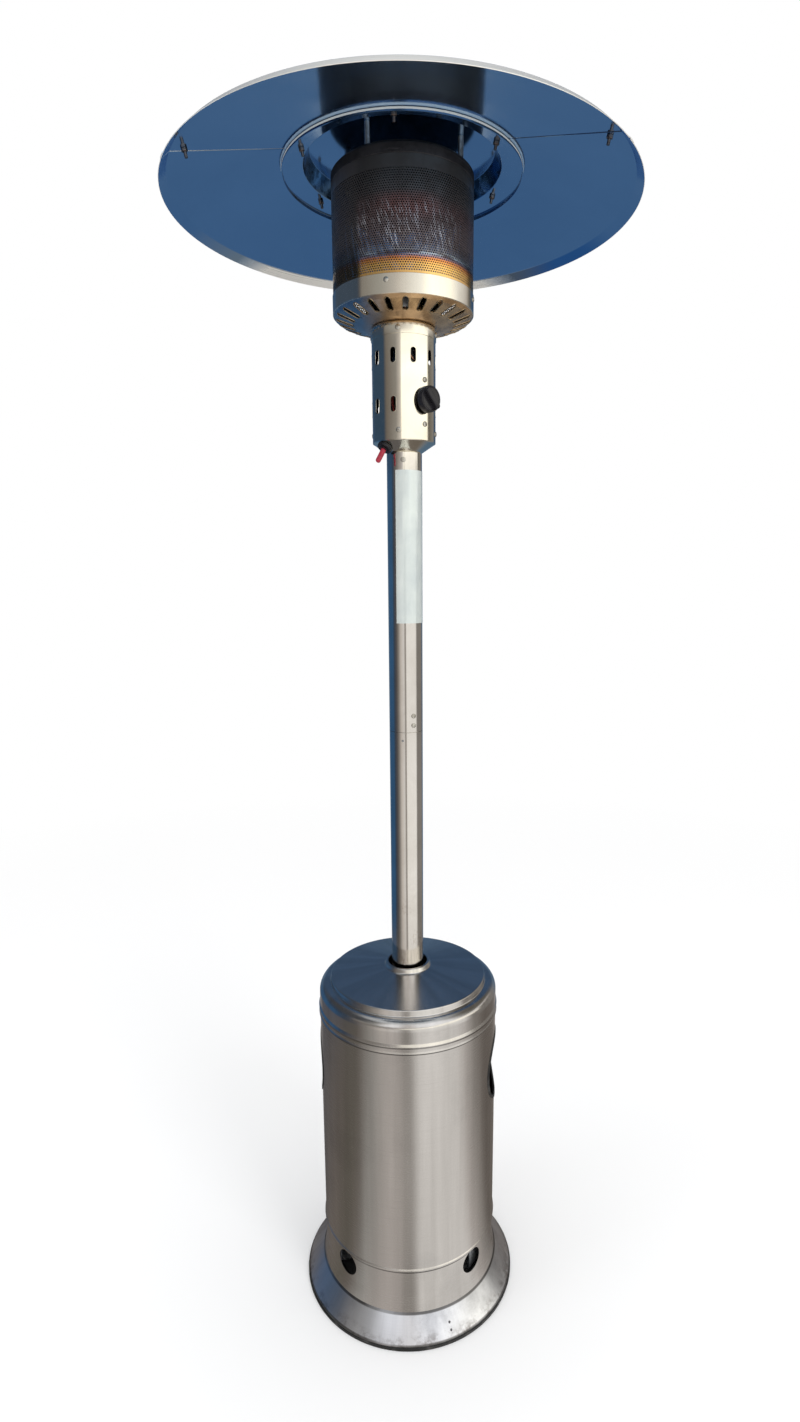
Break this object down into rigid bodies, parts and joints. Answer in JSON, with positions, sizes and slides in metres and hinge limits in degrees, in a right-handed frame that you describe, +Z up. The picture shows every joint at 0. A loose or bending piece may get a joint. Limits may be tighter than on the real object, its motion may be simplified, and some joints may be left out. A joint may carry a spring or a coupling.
{
  "type": "propane patio heater",
  "caption": "Free-standing gas patio heater: cylinder housing on a flared base, pole, control housing with knob and igniter, emitter screen and a wide conical reflector.",
  "frame": {"origin": "centre of the base's underside, on the floor", "axes": "+Z up along the pole, -Y towards the front, +X to the right seen from the front"},
  "size_m": [0.8127, 0.8128, 2.2351],
  "materials": {
    "brushed_stainless": "brushed, vertical grain on the housing",
    "polished_stainless": "polished",
    "heat_tinted_steel": "perforated, heat-tinted and sooty",
    "reflector_aluminium": "mirror-bright underside",
    "black_painted_steel": "satin",
    "galvanised_steel": "dull zinc",
    "black_rubber": "matt",
    "black_plastic": "moulded",
    "red_plastic": "moulded",
    "clear_film": "blank protective film",
    "zinc_screws": "bright zinc",
    "brass": "machined",
    "copper_tube": "drawn tube",
    "ceramic": "unglazed, plastic stands in for ceramic",
    "red_silicone": "silicone sleeve"
  },
  "bodies": {
    "heater": {"base_edging": "black_rubber", "base_skirt": "brushed_stainless", "deck_plate": "black_painted_steel", "support_leg_1": "galvanised_steel", "support_leg_2": "galvanised_steel", "support_leg_3": "galvanised_steel", "leg_bolts": "zinc_screws", "leg_nuts": "zinc_screws", "pole_flange": "galvanised_steel", "lower_pole": "polished_stainless", "coupling_sleeve": "galvanised_steel", "upper_pole": "polished_stainless", "pole_screws": "zinc_screws", "pole_film": "clear_film", "head_cup": "polished_stainless", "control_housing": "polished_stainless", "head_collar": "polished_stainless", "head_screws": "zinc_screws", "burner_bowl": "polished_stainless", "emitter_band": "polished_stainless", "band_rivets": "zinc_screws", "emitter_screen": "heat_tinted_steel", "emitter_cap": "heat_tinted_steel", "standoff_studs": "galvanised_steel", "stud_nuts": "zinc_screws", "wing_nuts": "zinc_screws", "centre_plate": "reflector_aluminium", "reflector_panel_1": "reflector_aluminium", "reflector_panel_2": "reflector_aluminium", "reflector_panel_3": "reflector_aluminium", "panel_bolts": "zinc_screws", "panel_nuts": "zinc_screws", "valve_body": "brass", "valve_bracket": "galvanised_steel", "valve_nut": "brass", "inlet_fitting": "brass", "tilt_switch": "black_plastic", "igniter_body": "black_plastic", "igniter_nut": "black_plastic", "main_gas_tube": "copper_tube", "gas_injector": "brass", "venturi_tube": "galvanised_steel", "burner_head": "heat_tinted_steel", "pilot_bracket": "galvanised_steel", "pilot_burner": "brass", "thermocouple": "copper_tube", "spark_electrode": "ceramic", "pilot_gas_tube": "copper_tube", "thermocouple_lead": "copper_tube", "ignition_lead": "red_silicone"},
    "tank_housing": {"housing_foot": "brushed_stainless", "housing_side": "brushed_stainless", "housing_top": "brushed_stainless", "hand_hole_trims": "black_rubber"},
    "valve_stem": {"valve_stem": "brass"},
    "control_knob": {"control_knob": "black_plastic"},
    "igniter_button": {"igniter_button": "red_plastic"}
  },
  "joints": [
    {"name": "housing_lift", "type": "slide", "parent": "heater", "child": "tank_housing", "axis": [0, 0, 1], "range_m": [0, 0.95]},
    {"name": "knob_turn", "type": "hinge", "parent": "heater", "child": "valve_stem", "pos_m": [0, 0, 1.8094], "axis": [0.6428, -0.766, 0], "range_deg": [0, 210]},
    {"name": "knob_push", "type": "slide", "parent": "valve_stem", "child": "control_knob", "axis": [-0.6428, 0.766, 0], "range_m": [0, 0.003], "stiffness_N_per_m": 1000, "springref_m": -0.002},
    {"name": "igniter_push", "type": "slide", "parent": "heater", "child": "igniter_button", "axis": [0.4134, 0.3722, 0.831], "range_m": [0, 0.006], "stiffness_N_per_m": 800, "springref_m": -0.004}
  ]
}
